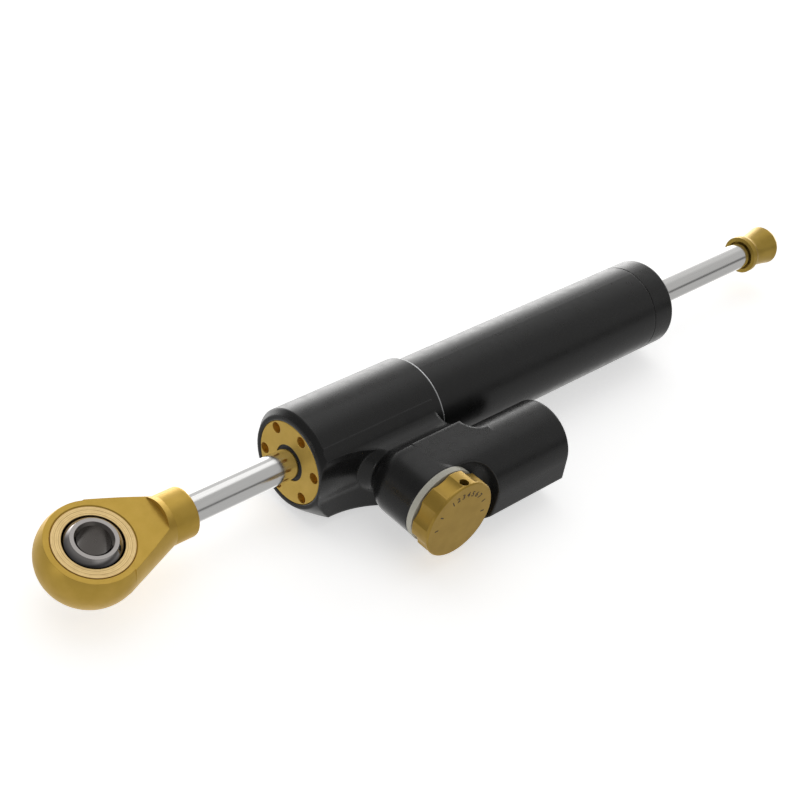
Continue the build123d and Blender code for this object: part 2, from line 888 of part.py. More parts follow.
# Ring under the knob
with BuildPart() as adjuster_ring:
    with BuildSketch(knob_face.offset(boss_out)):
        Circle(pod_r)
        Circle(valve_bush_flange_d / 2 + free_gap, mode=Mode.SUBTRACT)
    extrude(amount=ring_thick)
adjuster_ring.part.label = "adjuster_ring"
export_step(adjuster_ring.part, "parts/adjuster_ring.step")

# Bush that carries the valve's spindle
bush_top = boss_out + valve_bush_flange
with BuildPart() as adjuster_bush:
    with BuildSketch(knob_side):
        with BuildLine():
            Polyline(
                (valve_end, spindle_bore_r),
                (valve_end, valve_bush_d / 2),
                (boss_out, valve_bush_d / 2),
                (boss_out, valve_bush_flange_d / 2),
                (bush_top, valve_bush_flange_d / 2),
                (bush_top, spindle_bore_r),
                close=True,
            )
        make_face()
    revolve(axis=knob_axis)
adjuster_bush.part.label = "adjuster_bush"
export_step(adjuster_bush.part, "parts/adjuster_bush.step")

# Valve seat
with BuildPart() as needle_seat:
    with BuildSketch(knob_face.offset(seat_out - seat_length)):
        Circle(seat_d / 2)
        Circle(seat_hole_d / 2, mode=Mode.SUBTRACT)
    extrude(amount=seat_length)
needle_seat.part.label = "needle_seat"
export_step(needle_seat.part, "parts/needle_seat.step")

# Needle, shown half open
needle_slope = (needle_d - needle_tip_d) / 2 / needle_taper
needle_dip = (seat_hole_d - needle_tip_d) / 2 / needle_slope
needle_tip = seat_out - needle_dip + needle_lift + needle_pitch
with BuildPart() as valve_needle:
    with BuildSketch(knob_side):
        with BuildLine():
            Polyline(
                (needle_tip, 0),
                (needle_tip, needle_tip_d / 2),
                (needle_tip + needle_taper, needle_d / 2),
                (needle_tip + needle_length, needle_d / 2),
                (needle_tip + needle_length, 0),
                close=True,
            )
        make_face()
    revolve(axis=knob_axis)
valve_needle.part.label = "valve_needle"
export_step(valve_needle.part, "parts/valve_needle.step")

# Spindle: collar under the bush, blind bore for the needle's stem
knob_foot = boss_out + ring_thick + knob_gap
spindle_top = knob_foot + knob_bore_deep
collar_foot = valve_end - spindle_collar - run_gap
spindle_foot = collar_foot - spindle_tail
spindle_o_ring_out = (valve_end + boss_out) / 2
with BuildPart() as adjuster_spindle:
    with BuildSketch(knob_side):
        with BuildLine():
            Polyline(
                (spindle_foot, needle_d / 2 + run_gap),
                (spindle_foot, spindle_d / 2),
                (collar_foot, spindle_d / 2),
                (collar_foot, spindle_collar_d / 2),
                (collar_foot + spindle_collar, spindle_collar_d / 2),
                (collar_foot + spindle_collar, spindle_d / 2),
                (spindle_top, spindle_d / 2),
                (spindle_top, 0),
                (spindle_foot + needle_socket, 0),
                (spindle_foot + needle_socket, needle_d / 2 + run_gap),
                close=True,
            )
        make_face()
        with Locations((spindle_o_ring_out, (spindle_d - spindle_o_ring_d) / 2)):
            Rectangle(
                spindle_o_ring_d + 2 * o_ring_side,
                spindle_o_ring_d + 2 * press_gap,
                mode=Mode.SUBTRACT,
            )
    revolve(axis=knob_axis)
adjuster_spindle.part.label = "adjuster_spindle"
export_step(adjuster_spindle.part, "parts/adjuster_spindle.step")

with BuildPart() as spindle_o_ring:
    with BuildSketch(knob_side):
        with Locations((spindle_o_ring_out, (spindle_d - spindle_o_ring_d) / 2)):
            Circle(spindle_o_ring_d / 2)
    revolve(axis=knob_axis)
spindle_o_ring.part.label = "spindle_o_ring"
export_step(spindle_o_ring.part, "parts/spindle_o_ring.step")

# Knob, fluted up to its rim, with a cross hole for its grub screw
grub_face = Plane(
    origin=(knob_x, -knob_foot - grub_out, 0),
    z_dir=(cos(radians(grub_turn)), 0, sin(radians(grub_turn))),
)
with BuildPart() as adjuster_knob:
    with BuildSketch(knob_face.offset(knob_foot)):
        Circle(knob_d / 2)
    extrude(amount=knob_thick)
    chamfer(adjuster_knob.faces().sort_by(Axis.Y)[0].edges(), knob_edge)
    with BuildSketch(knob_face.offset(knob_foot - cut_over)):
        with PolarLocations(knob_d / 2 - flute_depth + flute_r, flute_count, flute_turn):
            Circle(flute_r)
    extrude(amount=cut_over + knob_thick - knob_rim, mode=Mode.SUBTRACT)
    with BuildSketch(knob_face.offset(knob_foot)):
        Circle(spindle_d / 2 + press_gap)
    extrude(amount=knob_bore_deep, mode=Mode.SUBTRACT)
    with BuildSketch(grub_face):
        Circle(grub_d / 2 + press_gap)
    extrude(amount=knob_d, mode=Mode.SUBTRACT)
adjuster_knob.part.label = "adjuster_knob"
export_step(adjuster_knob.part, "parts/adjuster_knob.step")

with BuildPart() as knob_grub_screw:
    with BuildSketch(grub_face.offset(spindle_d / 2 + press_gap)):
        Circle(grub_d / 2)
    extrude(amount=grub_length)
    with BuildSketch(grub_face.offset(spindle_d / 2 + press_gap + grub_length)):
        RegularPolygon(grub_hex / 2, 6, major_radius=False)
    extrude(amount=-grub_hex, mode=Mode.SUBTRACT)
knob_grub_screw.part.label = "knob_grub_screw"
export_step(knob_grub_screw.part, "parts/knob_grub_screw.step")

# Floating piston between oil and air
pod_cap_front = pod_clip_front - pod_cap_thick
float_room = pod_cap_front - pod_bore_front - float_length
float_x = pod_bore_front + float_place_share * float_room
float_r = pod_bore_r - run_gap
float_o_ring_x = float_x + float_length / 2
with BuildPart() as floating_piston:
    with BuildSketch(pod_side):
        with BuildLine():
            Polyline(
                (float_x, 0),
                (float_x, float_r),
                (float_x + float_length, float_r),
                (float_x + float_length, float_cup_d / 2),
                (float_x + float_length - float_cup_deep, float_cup_d / 2),
                (float_x + float_length - float_cup_deep, 0),
                close=True,
            )
        make_face()
        with Locations((float_o_ring_x, float_r - o_ring_d / 2)):
            Rectangle(
                o_ring_d + 2 * o_ring_side,
                o_ring_d + 2 * press_gap,
                mode=Mode.SUBTRACT,
            )
    revolve(axis=pod_axis)
floating_piston.part.label = "floating_piston"
export_step(floating_piston.part, "parts/floating_piston.step")

with BuildPart() as floating_piston_o_ring:
    with BuildSketch(pod_side):
        with Locations((float_o_ring_x, float_r - o_ring_d / 2)):
            Circle(o_ring_d / 2)
    revolve(axis=pod_axis)
floating_piston_o_ring.part.label = "floating_piston_o_ring"
export_step(floating_piston_o_ring.part, "parts/floating_piston_o_ring.step")

# Reservoir cap with its O-ring, circlip and fill screw
pod_cap_r = pod_bore_r - press_gap
pod_cap_o_ring_x = pod_cap_front + pod_cap_thick / 2
with BuildPart() as reservoir_cap:
    with BuildSketch(pod_side):
        with BuildLine():
            Polyline(
                (pod_cap_front, fill_screw_d / 2 + press_gap),
                (pod_cap_front, pod_cap_r),
                (pod_clip_front, pod_cap_r),
                (pod_clip_front, fill_screw_d / 2 + press_gap),
                close=True,
            )
        make_face()
        with Locations((pod_cap_o_ring_x, pod_cap_r - o_ring_d / 2)):
            Rectangle(
                o_ring_d + 2 * o_ring_side,
                o_ring_d + 2 * press_gap,
                mode=Mode.SUBTRACT,
            )
    revolve(axis=pod_axis)
reservoir_cap.part.label = "reservoir_cap"
export_step(reservoir_cap.part, "parts/reservoir_cap.step")

with BuildPart() as reservoir_cap_o_ring:
    with BuildSketch(pod_side):
        with Locations((pod_cap_o_ring_x, pod_cap_r - o_ring_d / 2)):
            Circle(o_ring_d / 2)
    revolve(axis=pod_axis)
reservoir_cap_o_ring.part.label = "reservoir_cap_o_ring"
export_step(reservoir_cap_o_ring.part, "parts/reservoir_cap_o_ring.step")

with BuildPart() as reservoir_circlip:
    with BuildSketch(Plane.YZ.offset(pod_clip_front)):
        with Locations((-pod_y, 0)):
            Circle(pod_clip_groove_r - press_gap)
            Circle(pod_bore_r - pod_clip_ring / 2, mode=Mode.SUBTRACT)
        with Locations((-pod_y, pod_bore_r)):
            Rectangle(clip_mouth, pod_bore_r, mode=Mode.SUBTRACT)
    extrude(amount=pod_clip_thick)
reservoir_circlip.part.label = "reservoir_circlip"
export_step(reservoir_circlip.part, "parts/reservoir_circlip.step")

with BuildPart() as reservoir_fill_screw:
    with BuildSketch(Plane.YZ.offset(pod_clip_front - fill_screw_length)):
        with Locations((-pod_y, 0)):
            Circle(fill_screw_d / 2)
    extrude(amount=fill_screw_length)
    with BuildSketch(Plane.YZ.offset(pod_clip_front)):
        with Locations((-pod_y, 0)):
            RegularPolygon(fill_hex / 2, 6, major_radius=False)
    extrude(amount=-fill_hex, mode=Mode.SUBTRACT)
reservoir_fill_screw.part.label = "reservoir_fill_screw"
export_step(reservoir_fill_screw.part, "parts/reservoir_fill_screw.step")
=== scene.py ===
# %% [markdown]
# A steering damper, dressed for a studio photograph
#
# The object is a motorcycle's steering damper: a chromed rod runs through a black cylinder, with a
# gold spherical rod end in front, a gold stop cap behind, and a knob beside a small reservoir.
# Its rigid pieces arrive as a finished model that is never moved or reshaped here. This lesson gives
# each piece the surface that it has on the bench, adds the fine marks that a model of the
# construction leaves out, and sets up the camera, the table and the lights.

import json
import math

import bmesh
import bpy
from mathutils import Matrix, Vector


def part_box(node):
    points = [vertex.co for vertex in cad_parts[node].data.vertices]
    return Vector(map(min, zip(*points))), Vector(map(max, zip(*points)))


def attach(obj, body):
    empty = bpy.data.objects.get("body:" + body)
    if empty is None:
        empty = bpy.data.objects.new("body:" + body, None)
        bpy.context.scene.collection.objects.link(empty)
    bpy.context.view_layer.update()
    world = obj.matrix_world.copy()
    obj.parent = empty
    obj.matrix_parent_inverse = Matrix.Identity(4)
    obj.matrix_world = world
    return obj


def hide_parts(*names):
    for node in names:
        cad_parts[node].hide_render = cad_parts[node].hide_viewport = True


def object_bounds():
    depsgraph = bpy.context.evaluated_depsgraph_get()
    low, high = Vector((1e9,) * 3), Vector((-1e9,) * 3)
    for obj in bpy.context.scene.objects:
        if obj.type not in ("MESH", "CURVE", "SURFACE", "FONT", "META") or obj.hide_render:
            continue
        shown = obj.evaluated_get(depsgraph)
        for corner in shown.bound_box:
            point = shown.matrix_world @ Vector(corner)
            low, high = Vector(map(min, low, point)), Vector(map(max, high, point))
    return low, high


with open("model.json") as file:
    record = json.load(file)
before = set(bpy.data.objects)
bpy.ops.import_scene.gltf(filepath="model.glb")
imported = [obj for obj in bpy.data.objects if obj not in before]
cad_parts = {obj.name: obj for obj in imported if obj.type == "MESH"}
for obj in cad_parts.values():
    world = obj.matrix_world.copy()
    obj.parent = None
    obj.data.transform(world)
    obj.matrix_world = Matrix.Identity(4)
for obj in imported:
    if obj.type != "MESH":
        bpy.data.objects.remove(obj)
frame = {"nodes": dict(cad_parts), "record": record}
model_low, model_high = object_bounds()
MM = 0.001
print("model box in mm:", [round(side / MM, 1) for side in model_high - model_low])


# %% [markdown]
# Places that the lesson needs
#
# Nothing below types in a place that the model already knows, because a typed place would stay
# behind when the model changes. The knob's face is read from the box of its piece, and the middle
# and the axis of the bearing from the record's mount for its bolt. An axis is written as a point
# and a direction.

# %% Read the places
def middle(node):
    """The middle of a piece's box."""
    low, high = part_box(node)
    return (low + high) / 2


upwards = Vector((0, 0, 1))
rod_direction = Vector((1, 0, 0))
rod_axis = (Vector((0, 0, 0)), rod_direction)
knob_direction = Vector((0, -1, 0))
knob_face = middle("adjuster_knob")
knob_face.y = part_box("adjuster_knob")[0].y
knob_axis = (knob_face, knob_direction)
mounts = {mount["name"]: mount for mount in frame["record"]["mounts"]}
bolt_bore = mounts["rod_end_bore"]
eye_middle = Vector(bolt_bore["pos_m"])
eye_direction = Vector(bolt_bore["axis"]).normalized()
eye_axis = (eye_middle, eye_direction)
print("knob's face at mm:", [round(part / MM, 1) for part in knob_face])
print("bearing's middle at mm:", [round(part / MM, 1) for part in eye_middle])


# %% [markdown]
# Small tools for nodes
#
# Every finish and every pattern below is built from nodes. Written out in full, a node takes one
# line to make and one more for each setting and each link. The first two tools shorten that: they
# make a node and feed its inputs with links or values. The others make the sums and blends that
# come up again and again.

# %% Tools for nodes
def feed(tree, node, inputs):
    """Link sockets to a node's inputs, or set their values. A colour gets its alpha of 1."""
    for label, value in inputs.items():
        socket = node.inputs[label]
        if isinstance(value, bpy.types.NodeSocket):
            tree.links.new(value, socket)
        elif socket.type == "RGBA":
            socket.default_value = (*value, 1)
        else:
            socket.default_value = value


def add_node(tree, kind, inputs=None, **settings):
    """A node of that kind, with its settings and with its inputs fed."""
    node = tree.nodes.new(kind)
    for key, value in settings.items():
        setattr(node, key, value)
    feed(tree, node, inputs or {})
    return node


def maths(tree, operation, *values, clamp=False):
    """A sum of sockets or numbers."""
    inputs = dict(enumerate(values))
    return add_node(tree, "ShaderNodeMath", inputs, operation=operation, use_clamp=clamp).outputs[0]


def vector_maths(tree, operation, *values):
    """A sum of places or directions. A length and a dot product come out as plain numbers."""
    node = add_node(tree, "ShaderNodeVectorMath", dict(enumerate(values)), operation=operation)
    return node.outputs["Value" if operation in ("LENGTH", "DOT_PRODUCT") else "Vector"]


def spread(tree, value, low, high, to_low, to_high, smooth=False):
    """A value between two bounds, spread over two others, in a straight or a smooth rise."""
    inputs = {"Value": value, "From Min": low, "From Max": high, "To Min": to_low, "To Max": to_high}
    rise = "SMOOTHSTEP" if smooth else "LINEAR"
    return add_node(tree, "ShaderNodeMapRange", inputs, interpolation_type=rise).outputs["Result"]


def blend(tree, share, first, second, kind="RGBA"):
    """One colour turning into another as share goes from 0 to 1. The kind VECTOR is for normals."""
    inputs = {"Factor": share, "A": first, "B": second}
    return add_node(tree, "ShaderNodeMix", inputs, data_type=kind).outputs["Result"]


print("tools for nodes ready")


# %% [markdown]
# Patterns that stick to a piece
#
# Grain and the marks of a lathe break up every finish here. Images could carry them, but an image
# blurs from close up, and each piece would have to be unwrapped first. These patterns are worked
# out from Object coordinates instead: every point knows its own place on the piece, so the pattern
# travels with the piece. Lathe marks are circles round an axis, which is why two tools measure how
# far a point lies from an axis and along it.

# %% Grain and lathe marks
def place_of(tree):
    """The point's own place on the piece."""
    return add_node(tree, "ShaderNodeTexCoord").outputs["Object"]


def seen_from(tree, point):
    """The point's place, measured from another point."""
    return vector_maths(tree, "SUBTRACT", place_of(tree), point)


def speckle(tree, size, detail=2.0, roughness=0.5, stretch=None):
    """Noise from 0 to 1 with grains of about that size, in metres. A stretch under 1 draws them out."""
    place = place_of(tree)
    if stretch:
        mapping = add_node(tree, "ShaderNodeMapping", {"Vector": place, "Scale": stretch})
        place = mapping.outputs["Vector"]
    inputs = {"Vector": place, "Scale": 1 / size, "Detail": detail, "Roughness": roughness}
    return add_node(tree, "ShaderNodeTexNoise", inputs).outputs["Fac"]


def distance_from_axis(tree, point, direction):
    """How far each point of the surface lies from a line, in metres."""
    across = vector_maths(tree, "CROSS_PRODUCT", seen_from(tree, point), direction)
    return vector_maths(tree, "LENGTH", across)


def distance_along(tree, point, direction):
    """How far each point of the surface lies along a line, in metres."""
    return vector_maths(tree, "DOT_PRODUCT", seen_from(tree, point), direction)


def lathe_wave(tree, distance, pitch):
    """A wave from -1 to 1 that repeats at every pitch, as the marks of a lathe do."""
    return maths(tree, "SINE", maths(tree, "MULTIPLY", distance, 2 * math.pi / pitch))


print("patterns ready")


# %% [markdown]
# What all finishes share
#
# Whatever its colour, a real surface is nowhere evenly glossy, it has a fine relief, and its edges
# are broken by a file or by blasting, so that they catch the light. A bevel on the mesh would show
# such edges too, but the model's meshes stay as they are, so the shader's Bevel node rounds the
# normal instead. Where that rounded normal leaves the mesh's own, an edge is near, and there a
# finish can look rubbed.

# %% Gloss, relief and edges
finishes = {}

# Nearly all of a noise lies between these two
noise_low = 0.3
noise_high = 0.7

# A match is 1 where two normals agree, and it falls as they part
open_face_match = 0.965
edge_match = 0.80


def start_material(name, values):
    """A material whose shader has these values. It is kept among the finishes."""
    material = bpy.data.materials.new(name)
    material.use_nodes = True
    finishes[name] = material
    shader = material.node_tree.nodes["Principled BSDF"]
    feed(material.node_tree, shader, values)
    return material.node_tree, shader


def uneven_gloss(tree, pattern, roughness, swing):
    """A roughness that follows a noise, below and above its mean by the two parts of the swing."""
    below, above = swing
    return spread(tree, pattern, noise_low, noise_high, roughness - below, roughness + above)


def add_relief(tree, shader, height, depth, under=None):
    """Relief on the shader, depth in metres, over the mesh's normal or the one that is given."""
    inputs = {"Height": height, "Distance": depth}
    if under is not None:
        inputs["Normal"] = under
    feed(tree, shader, {"Normal": add_node(tree, "ShaderNodeBump", inputs).outputs["Normal"]})


def mesh_normal(tree):
    """The direction that the mesh faces at each point."""
    return add_node(tree, "ShaderNodeNewGeometry").outputs["Normal"]


def softened_normal(tree, radius):
    """The same direction, with sharp edges rounded by a radius."""
    return add_node(tree, "ShaderNodeBevel", {"Radius": radius}, samples=8).outputs["Normal"]


def edge_share(tree, softened):
    """How near an edge is: 0 on open faces, towards 1 where the softened normal turns away."""
    match = vector_maths(tree, "DOT_PRODUCT", softened, mesh_normal(tree))
    return spread(tree, match, open_face_match, edge_match, 0, 1)


print("gloss, relief and edges ready")


# %% [markdown]
# Round where the mesh has facets
#
# The model's meshes are flat triangles. On a dull surface nobody sees them, but a polished rod or
# ball mirrors each one. A finer mesh would hide them, but that would change the model. The true
# normal of a cylinder or a ball can be worked out from its axis or its middle, though, and a
# shader can take it wherever the mesh nearly agrees, so that ends and chamfers keep their own.

# %% True normals
same_curve_match = 0.975


def unit(tree, vector):
    """The same direction at length 1."""
    return vector_maths(tree, "NORMALIZE", vector)


def in_world(tree, normal):
    """A normal of the piece, turned as the piece is turned."""
    turns = {"vector_type": "NORMAL", "convert_from": "OBJECT", "convert_to": "WORLD"}
    node = add_node(tree, "ShaderNodeVectorTransform", {"Vector": normal}, **turns)
    return unit(tree, node.outputs["Vector"])


def straight_out(tree, point, direction=None, inwards=False):
    """The true normal of a ball round a point, or of a cylinder round a line."""
    out = seen_from(tree, point)
    if direction is not None:
        out = vector_maths(tree, "SUBTRACT", out, vector_maths(tree, "PROJECT", out, direction))
    out = unit(tree, out)
    if inwards:
        out = vector_maths(tree, "MULTIPLY", out, (-1, -1, -1))
    return in_world(tree, out)


def true_normal(tree, curves):
    """The mesh's normal, or the normal of the true curve that nearly agrees with it."""
    plain = mesh_normal(tree)
    chosen = plain
    for curve in curves:
        match = vector_maths(tree, "DOT_PRODUCT", curve, plain)
        agrees = maths(tree, "GREATER_THAN", match, same_curve_match)
        chosen = blend(tree, agrees, chosen, curve, kind="VECTOR")
    return chosen


print("true normals ready")


# %% [markdown]
# Black anodising
#
# The body, the tube and both caps are turned or milled aluminium, blasted and dyed black. One flat
# black would do from far away, but up close it looks like plastic. The dye leaves a surface that is
# nearly black and not glossy: it shows soft reflections, a grain so fine that it only takes the
# edge off them, and a hair of bare metal where a corner has rubbed. The recipe blends two
# near-blacks with noise, varies the roughness, and lifts the colour along edges. The body's mesh
# has a faint crease beside its barrel that the real one doesn't have, so close to the barrel the
# body takes the barrel's true normal, which fades out further away.

# %% Black finishes
dye_cloud = 6 * MM
rub_cloud = 1.2 * MM
gloss_cloud = 2.5 * MM
bare_metal = (0.22, 0.22, 0.225)
darkest_dye = 0.85
lightest_dye = 1.2
black_swing = (0.04, 0.05)
black_shine = 0.45
skin_depth = 0.003 * MM
black_pitch = 0.3 * MM
rings_share = 0.12

# The body reaches as far as its barrel on the side away from the reservoir
barrel_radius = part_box("body_housing")[1].y
fade_from = 0.3 * MM
fade_to = 1.2 * MM
unlike_match = 0.88
alike_match = 0.94


def hug_round(tree, normal, axis, radius):
    """A cylinder's normal where the surface lies close to it, fading into the given one."""
    curve = straight_out(tree, *axis)
    match = vector_maths(tree, "DOT_PRODUCT", curve, normal)
    alike = spread(tree, match, unlike_match, alike_match, 0, 1)
    far = distance_from_axis(tree, *axis)
    close = spread(tree, far, radius + fade_from, radius + fade_to, 1, 0)
    share = maths(tree, "MULTIPLY", alike, close)
    return unit(tree, blend(tree, share, normal, curve, kind="VECTOR"))


def black_anodising(
    name,
    roughness,
    tone=0.009,
    grain=0.3 * MM,
    corner=0.3 * MM,
    rubbed=0.35,
    lathe_pitch=None,
    round_to=None,
):
    """Dyed aluminium with softened corners. A lathe pitch adds marks round the rod's axis."""
    tree, shader = start_material(name, {"Roughness": roughness, "Specular IOR Level": black_shine})
    normal = softened_normal(tree, corner)
    cloud = speckle(tree, dye_cloud, detail=3)
    dye = blend(tree, cloud, [tone * darkest_dye] * 3, [tone * lightest_dye] * 3)
    rub = maths(tree, "MULTIPLY", edge_share(tree, normal), speckle(tree, rub_cloud, detail=4))
    rub = maths(tree, "MULTIPLY", rub, rubbed, clamp=True)
    gloss = uneven_gloss(tree, speckle(tree, gloss_cloud, detail=4), roughness, black_swing)
    feed(tree, shader, {"Base Color": blend(tree, rub, dye, bare_metal), "Roughness": gloss})
    relief = speckle(tree, grain, detail=3)
    if lathe_pitch:
        rings = lathe_wave(tree, distance_along(tree, *rod_axis), lathe_pitch)
        relief = maths(tree, "MULTIPLY_ADD", rings, rings_share, relief)
    if round_to:
        normal = hug_round(tree, normal, rod_axis, round_to)
    add_relief(tree, shader, relief, skin_depth, under=normal)


black_anodising("black_body", 0.28, corner=0.9 * MM, round_to=barrel_radius)
black_anodising("black_tube", 0.30, lathe_pitch=black_pitch)
black_anodising("black_end_cap", 0.28, lathe_pitch=black_pitch)
black_anodising("black_pod_cap", 0.34, tone=0.012)
black_anodising("black_screw", 0.42, tone=0.02, grain=0.15 * MM, corner=0.1 * MM, rubbed=0.8)
print("black finishes:", list(finishes))


# %% [markdown]
# Gold anodising
#
# The rod end, the gland, the knob and the stop cap are dyed gold over a blasted surface. A fully
# metallic gold would turn dark wherever the room is dark. Under the dye the metal does reflect in
# gold, but the blasted skin also scatters light in all directions, so the shader is about two
# thirds metallic: the flat faces then keep one even tone from every side. The grain is deeper than
# on the black parts and visible from close up, and round pieces keep the marks of the lathe, which
# here are fine circles round the piece's axis. The distances from the axis and along it are added
# up, so that one wave marks both the faces and the rims.

# %% Gold finishes
gold_metal_share = 0.68
gold_cloud = 4 * MM
gold_cloud_low = 0.3
gold_cloud_high = 0.9
gold_swing = (0.05, 0.06)
gold_corner = 0.15 * MM
gold_pitch = 0.35 * MM
circles_share = 0.3


def gold_anodising(name, deep, bright, roughness, depth, grain=0.3 * MM, axis=None):
    """Gold over blasted metal, its edges lifted to the bright tone as a painted highlight. The axis is
    the one that the lathe turned the piece round.
    """
    tree, shader = start_material(name, {"Roughness": roughness, "Metallic": gold_metal_share})
    normal = softened_normal(tree, gold_corner)
    cloud = speckle(tree, gold_cloud, detail=3)
    # Painted highlight: edges are pushed towards the bright gold tone
    cloud = maths(tree, "ADD", cloud, edge_share(tree, normal), clamp=True)
    tone = blend(tree, spread(tree, cloud, gold_cloud_low, gold_cloud_high, 0, 1), deep, bright)
    fine = speckle(tree, grain, detail=4, roughness=0.6)
    gloss = uneven_gloss(tree, fine, roughness, gold_swing)
    feed(tree, shader, {"Base Color": tone, "Roughness": gloss})
    relief = fine
    if axis:
        reach = maths(tree, "ADD", distance_from_axis(tree, *axis), distance_along(tree, *axis))
        circles = lathe_wave(tree, reach, gold_pitch)
        relief = maths(tree, "MULTIPLY_ADD", circles, circles_share, fine)
    add_relief(tree, shader, relief, depth, under=normal)


gold_anodising(
    "gold_rod_end", (0.60, 0.385, 0.062), (0.70, 0.46, 0.09), 0.42, 0.014 * MM, grain=0.28 * MM
)
gold_anodising(
    "gold_gland", (0.70, 0.46, 0.085), (0.82, 0.55, 0.125), 0.34, 0.008 * MM, axis=rod_axis
)
gold_anodising(
    "gold_stop_cap", (0.47, 0.31, 0.048), (0.56, 0.38, 0.072), 0.33, 0.008 * MM, axis=rod_axis
)
gold_anodising(
    "gold_knob", (0.43, 0.27, 0.045), (0.52, 0.335, 0.065), 0.36, 0.007 * MM, axis=knob_axis
)
print("gold finishes:", [name for name in finishes if name.startswith("gold")])


# %% [markdown]
# The bearing's race
#
# The race is turned from bronze-coloured steel and left bare. Its face carries the marks of the
# tool as fine bright and dark circles. They could be modelled, but they are only a few thousandths
# of a millimetre deep, so they are a wave in the colour and in the relief, broken up by noise.

# %% Race
race_pitch = 0.42 * MM
race_cloud = 0.6 * MM
race_gloss_cloud = 1.5 * MM
race_corner = 0.12 * MM
race_depth = 0.003 * MM
race_swing = (0.05, 0.05)
race_circles_share = 0.5


def turned_metal(name, dark, bright, roughness, axis):
    """Bare turned metal with circles round the axis."""
    tree, shader = start_material(name, {"Roughness": roughness, "Metallic": 1})
    circles = lathe_wave(tree, distance_from_axis(tree, *axis), race_pitch)
    cloud = speckle(tree, race_cloud, detail=4)
    uneven = maths(tree, "MULTIPLY_ADD", circles, race_circles_share, cloud, clamp=True)
    gloss = uneven_gloss(tree, speckle(tree, race_gloss_cloud), roughness, race_swing)
    feed(tree, shader, {"Base Color": blend(tree, uneven, dark, bright), "Roughness": gloss})
    add_relief(tree, shader, circles, race_depth, under=softened_normal(tree, race_corner))


turned_metal("champagne_race", (0.66, 0.47, 0.21), (0.80, 0.60, 0.29), 0.36, eye_axis)
print("race ready")


# %% [markdown]
# The ball and the rod
#
# Both are hard chrome, polished like a mirror, so they need hardly any roughness: what shows on them
# is the room. Perfect mirrors would look like glass, so faint wipe marks break up the gloss, drawn
# out along the rod. Both take the true normals of their curves. The ball's bore and its ends are
# only ground, so they are duller and darker, and in the bore the darker colour also paints the shade
# inside the hole. Where the race covers the ball, its colour is darkened to near black as painted
# shade.

# %% Ball and rod
wipe_low = 0.35
wipe_high = 0.75
wipe_dulls = 0.10
wipe_dims = 0.94
# Painted shade: near black where the race covers the ball's middle
race_shade_colour = (0.03, 0.03, 0.036)
race_shade_strength = 0.88
race_shade_full_share = 0.80
race_shade_end_share = 0.96
# Ground steel for the bore and the ends, dark enough to paint the shade inside the bore too
ground_steel_and_bore_shade = (0.17, 0.155, 0.145)
ground_dulls = 0.12
ground_end_strength = 0.45
bore_fade = (0.02 * MM, 0.08 * MM)
end_fade = (0.06 * MM, 0.02 * MM)


def race_shaded_and_ground(tree, tint, gloss, axis, radius, half_width):
    """The tint and the gloss with painted shade where the race covers the ball, and with a ground bore
    and ends.
    """
    reach = maths(tree, "ABSOLUTE", distance_along(tree, *axis))
    race_shade_bounds = (race_shade_full_share * half_width, race_shade_end_share * half_width)
    # Painted shade round the ball's middle, where its race covers it
    tint = blend(tree, spread(tree, reach, *race_shade_bounds, race_shade_strength, 0), tint, race_shade_colour)
    bore_bounds = [radius + fade for fade in bore_fade]
    # In the bore, the dark ground colour also stands for painted shade inside the hole
    inside = spread(tree, distance_from_axis(tree, *axis), *bore_bounds, 1, 0)
    end_bounds = [half_width - fade for fade in end_fade]
    end_face = spread(tree, reach, *end_bounds, 0, ground_end_strength)
    ground = maths(tree, "MAXIMUM", inside, end_face)
    gloss = maths(tree, "MULTIPLY_ADD", ground, ground_dulls, gloss)
    return blend(tree, ground, tint, ground_steel_and_bore_shade), gloss


def polished_chrome(name, tone, roughness, wipe, curves, stretch=None, bore=None):
    """Mirror chrome with wipe marks. The curves are its true shapes, the bore a ground hole."""
    tree, shader = start_material(name, {"Roughness": roughness, "Metallic": 1})
    marks = speckle(tree, wipe, detail=5, stretch=stretch)
    gloss = spread(tree, marks, wipe_low, wipe_high, roughness, roughness + wipe_dulls)
    tint = blend(tree, marks, tone, [wipe_dims * part for part in tone])
    if bore:
        tint, gloss = race_shaded_and_ground(tree, tint, gloss, *bore)
    normal = true_normal(tree, [straight_out(tree, *curve) for curve in curves])
    feed(tree, shader, {"Base Color": tint, "Roughness": gloss, "Normal": normal})


def reach_of(node, start, direction):
    """How far a piece reaches from a point in a direction."""
    corners = frame["nodes"][node].data.vertices
    return max((corner.co - start).dot(direction) for corner in corners)


ball_half_width = reach_of("bearing_ball", *eye_axis)
bore_half_length = bolt_bore["dims"]["length_mm"] * MM / 2
chamfer_width = ball_half_width - bore_half_length
ground_radius = bolt_bore["dims"]["r_mm"] * MM + chamfer_width
polished_chrome(
    "polished_ball",
    (0.50, 0.475, 0.465),
    0.07,
    wipe=1.5 * MM,
    curves=[(eye_middle,), (eye_middle, eye_direction, True)],
    bore=(eye_axis, ground_radius, ball_half_width),
)
polished_chrome(
    "chromed_rod",
    (0.88, 0.875, 0.865),
    0.11,
    wipe=0.5 * MM,
    curves=[rod_axis],
    stretch=(0.05, 1, 1),
)
print("ball half as wide as mm:", round(ball_half_width / MM, 2))


# %% [markdown]
# The plain pieces
#
# What is left is either small or inside: the pale ring under the knob, the wipers and seals, the
# piston and its clips. One grey could serve for all that is hidden, but a joint's travel or a cut
# through the model may bring it to light, so each gets the surface of the real thing. One recipe
# serves them all, with grain in its colour, gloss and relief.

# %% Plain finishes
plain_swing = (0.06, 0.06)


